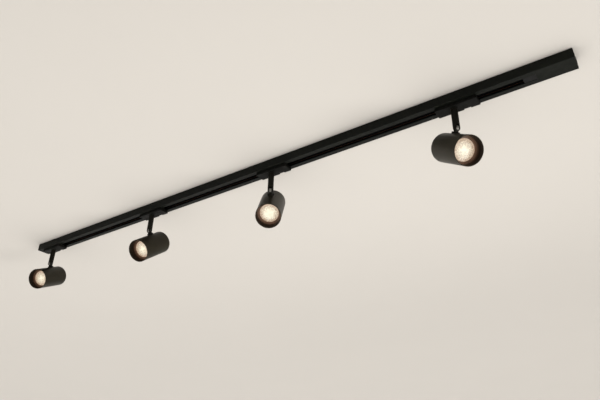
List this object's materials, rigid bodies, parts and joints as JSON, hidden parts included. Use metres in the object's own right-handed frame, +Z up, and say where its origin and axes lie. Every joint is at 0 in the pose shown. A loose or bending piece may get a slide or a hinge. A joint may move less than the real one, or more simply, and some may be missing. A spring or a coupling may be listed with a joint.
{
  "type": "track lighting fixture",
  "caption": "Ceiling track with adjustable tube spotlights: a slotted matte black rail with a live-end feed, and cylindrical heads that slide, pan and tilt on drop stems.",
  "frame": {"origin": "middle of the rail's ceiling face, halfway between the two inner ceiling screw holes; the fixture hangs below it", "axes": "+X along the rail towards the live end, +Z up into the ceiling, -Y the side the spots point to at rest"},
  "size_m": [1.5, 0.1155, 0.1567],
  "materials": {
    "track_paint": "matte black powder coat",
    "track_plastic": "matte black moulding",
    "adapter_plastic": "matte black moulding",
    "insulator_plastic": "satin black extrusion",
    "copper": "bare copper",
    "brass": "bare spring brass",
    "zinc_steel": "zinc plate",
    "screw_black": "black oxide",
    "stem_paint": "matte black powder coat",
    "barrel_paint": "matte black powder coat, slightly warm",
    "ring_metal": "satin aluminium",
    "ceramic": "bare ceramic",
    "lamp_shell": "satin",
    "lamp_glow": "lit lens, warm white"
  },
  "bodies": {
    "track": {"rail": "track_paint", "insulators": "insulator_plastic", "conductors": "copper", "end_cap": "track_plastic", "feed_cover": "track_plastic", "feed_insert": "adapter_plastic", "feed_contacts": "brass", "terminal_screws": "zinc_steel"},
    "adapter_1": {"adapter_housing_1": "adapter_plastic", "adapter_contacts_1": "brass"},
    "latch_1": {"latch_lever_1": "adapter_plastic"},
    "stem_1": {"stem_1": "stem_paint", "stem_nut_1": "zinc_steel", "pivot_screw_1": "screw_black", "pivot_washers_1": "zinc_steel"},
    "head_1": {"knuckle_1": "stem_paint", "barrel_1": "barrel_paint", "baffle_ring_1": "ring_metal", "lampholder_1": "ceramic"},
    "lamp_1": {"lamp_body_1": "lamp_shell", "lamp_lens_1": "lamp_glow"},
    "adapter_2": {"adapter_housing_2": "adapter_plastic", "adapter_contacts_2": "brass"},
    "latch_2": {"latch_lever_2": "adapter_plastic"},
    "stem_2": {"stem_2": "stem_paint", "stem_nut_2": "zinc_steel", "pivot_screw_2": "screw_black", "pivot_washers_2": "zinc_steel"},
    "head_2": {"knuckle_2": "stem_paint", "barrel_2": "barrel_paint", "baffle_ring_2": "ring_metal", "lampholder_2": "ceramic"},
    "lamp_2": {"lamp_body_2": "lamp_shell", "lamp_lens_2": "lamp_glow"},
    "adapter_3": {"adapter_housing_3": "adapter_plastic", "adapter_contacts_3": "brass"},
    "latch_3": {"latch_lever_3": "adapter_plastic"},
    "stem_3": {"stem_3": "stem_paint", "stem_nut_3": "zinc_steel", "pivot_screw_3": "screw_black", "pivot_washers_3": "zinc_steel"},
    "head_3": {"knuckle_3": "stem_paint", "barrel_3": "barrel_paint", "baffle_ring_3": "ring_metal", "lampholder_3": "ceramic"},
    "lamp_3": {"lamp_body_3": "lamp_shell", "lamp_lens_3": "lamp_glow"},
    "adapter_4": {"adapter_housing_4": "adapter_plastic", "adapter_contacts_4": "brass"},
    "latch_4": {"latch_lever_4": "adapter_plastic"},
    "stem_4": {"stem_4": "stem_paint", "stem_nut_4": "zinc_steel", "pivot_screw_4": "screw_black", "pivot_washers_4": "zinc_steel"},
    "head_4": {"knuckle_4": "stem_paint", "barrel_4": "barrel_paint", "baffle_ring_4": "ring_metal", "lampholder_4": "ceramic"},
    "lamp_4": {"lamp_body_4": "lamp_shell", "lamp_lens_4": "lamp_glow"}
  },
  "joints": [
    {"name": "adapter_slide_1", "type": "slide", "parent": "track", "child": "adapter_1", "axis": [1, 0, 0], "range_m": [-0.01, 0.115]},
    {"name": "latch_turn_1", "type": "hinge", "parent": "adapter_1", "child": "latch_1", "pos_m": [-0.6725, 0, -0.0173], "axis": [0, 0, -1], "range_deg": [0, 90]},
    {"name": "stem_pan_1", "type": "hinge", "parent": "adapter_1", "child": "stem_1", "pos_m": [-0.6945, 0, -0.0262], "axis": [0, 0, 1], "range_deg": [-196.6, 153.4]},
    {"name": "head_tilt_1", "type": "hinge", "parent": "stem_1", "child": "head_1", "pos_m": [-0.6945, 0, -0.068], "axis": [0.9298, 0.3681, 0], "range_deg": [-55.7, 64.3]},
    {"name": "lamp_twist_1", "type": "hinge", "parent": "head_1", "child": "lamp_1", "pos_m": [-0.68022, -0.03607, -0.12806], "axis": [0.3317, -0.8378, -0.4337], "range_deg": [0, 20]},
    {"name": "adapter_slide_2", "type": "slide", "parent": "track", "child": "adapter_2", "axis": [1, 0, 0], "range_m": [-0.115, 0.115]},
    {"name": "latch_turn_2", "type": "hinge", "parent": "adapter_2", "child": "latch_2", "pos_m": [-0.2505, 0, -0.0173], "axis": [0, 0, -1], "range_deg": [0, 90]},
    {"name": "stem_pan_2", "type": "hinge", "parent": "adapter_2", "child": "stem_2", "pos_m": [-0.2725, 0, -0.0262], "axis": [0, 0, 1], "range_deg": [-183.5, 166.5]},
    {"name": "head_tilt_2", "type": "hinge", "parent": "stem_2", "child": "head_2", "pos_m": [-0.2725, 0, -0.068], "axis": [0.989, 0.1478, 0], "range_deg": [-65.7, 54.3]},
    {"name": "lamp_twist_2", "type": "hinge", "parent": "head_2", "child": "lamp_2", "pos_m": [-0.26839, -0.02747, -0.13389], "axis": [0.12, -0.8032, -0.5835], "range_deg": [0, 20]},
    {"name": "adapter_slide_3", "type": "slide", "parent": "track", "child": "adapter_3", "axis": [1, 0, 0], "range_m": [-0.115, 0.115]},
    {"name": "latch_turn_3", "type": "hinge", "parent": "adapter_3", "child": "latch_3", "pos_m": [0.1365, 0, -0.0173], "axis": [0, 0, -1], "range_deg": [0, 90]},
    {"name": "stem_pan_3", "type": "hinge", "parent": "adapter_3", "child": "stem_3", "pos_m": [0.1145, 0, -0.0262], "axis": [0, 0, 1], "range_deg": [-205, 145]},
    {"name": "head_tilt_3", "type": "hinge", "parent": "stem_3", "child": "head_3", "pos_m": [0.1145, 0, -0.068], "axis": [0.866, 0.5, 0], "range_deg": [-77, 43]},
    {"name": "lamp_twist_3", "type": "hinge", "parent": "head_3", "child": "lamp_3", "pos_m": [0.12166, -0.0124, -0.13805], "axis": [0.341, -0.5906, -0.7314], "range_deg": [0, 20]},
    {"name": "adapter_slide_4", "type": "slide", "parent": "track", "child": "adapter_4", "axis": [1, 0, 0], "range_m": [-0.115, 0.08]},
    {"name": "latch_turn_4", "type": "hinge", "parent": "adapter_4", "child": "latch_4", "pos_m": [0.5595, 0, -0.0173], "axis": [0, 0, -1], "range_deg": [0, 90]},
    {"name": "stem_pan_4", "type": "hinge", "parent": "adapter_4", "child": "stem_4", "pos_m": [0.5375, 0, -0.0262], "axis": [0, 0, 1], "range_deg": [-224.5, 125.5]},
    {"name": "head_tilt_4", "type": "hinge", "parent": "stem_4", "child": "head_4", "pos_m": [0.5375, 0, -0.068], "axis": [0.6494, 0.7604, 0], "range_deg": [-65.4, 54.6]},
    {"name": "lamp_twist_4", "type": "hinge", "parent": "head_4", "child": "lamp_4", "pos_m": [0.55888, -0.01826, -0.13374], "axis": [0.6198, -0.5294, -0.5793], "range_deg": [0, 20]}
  ]
}
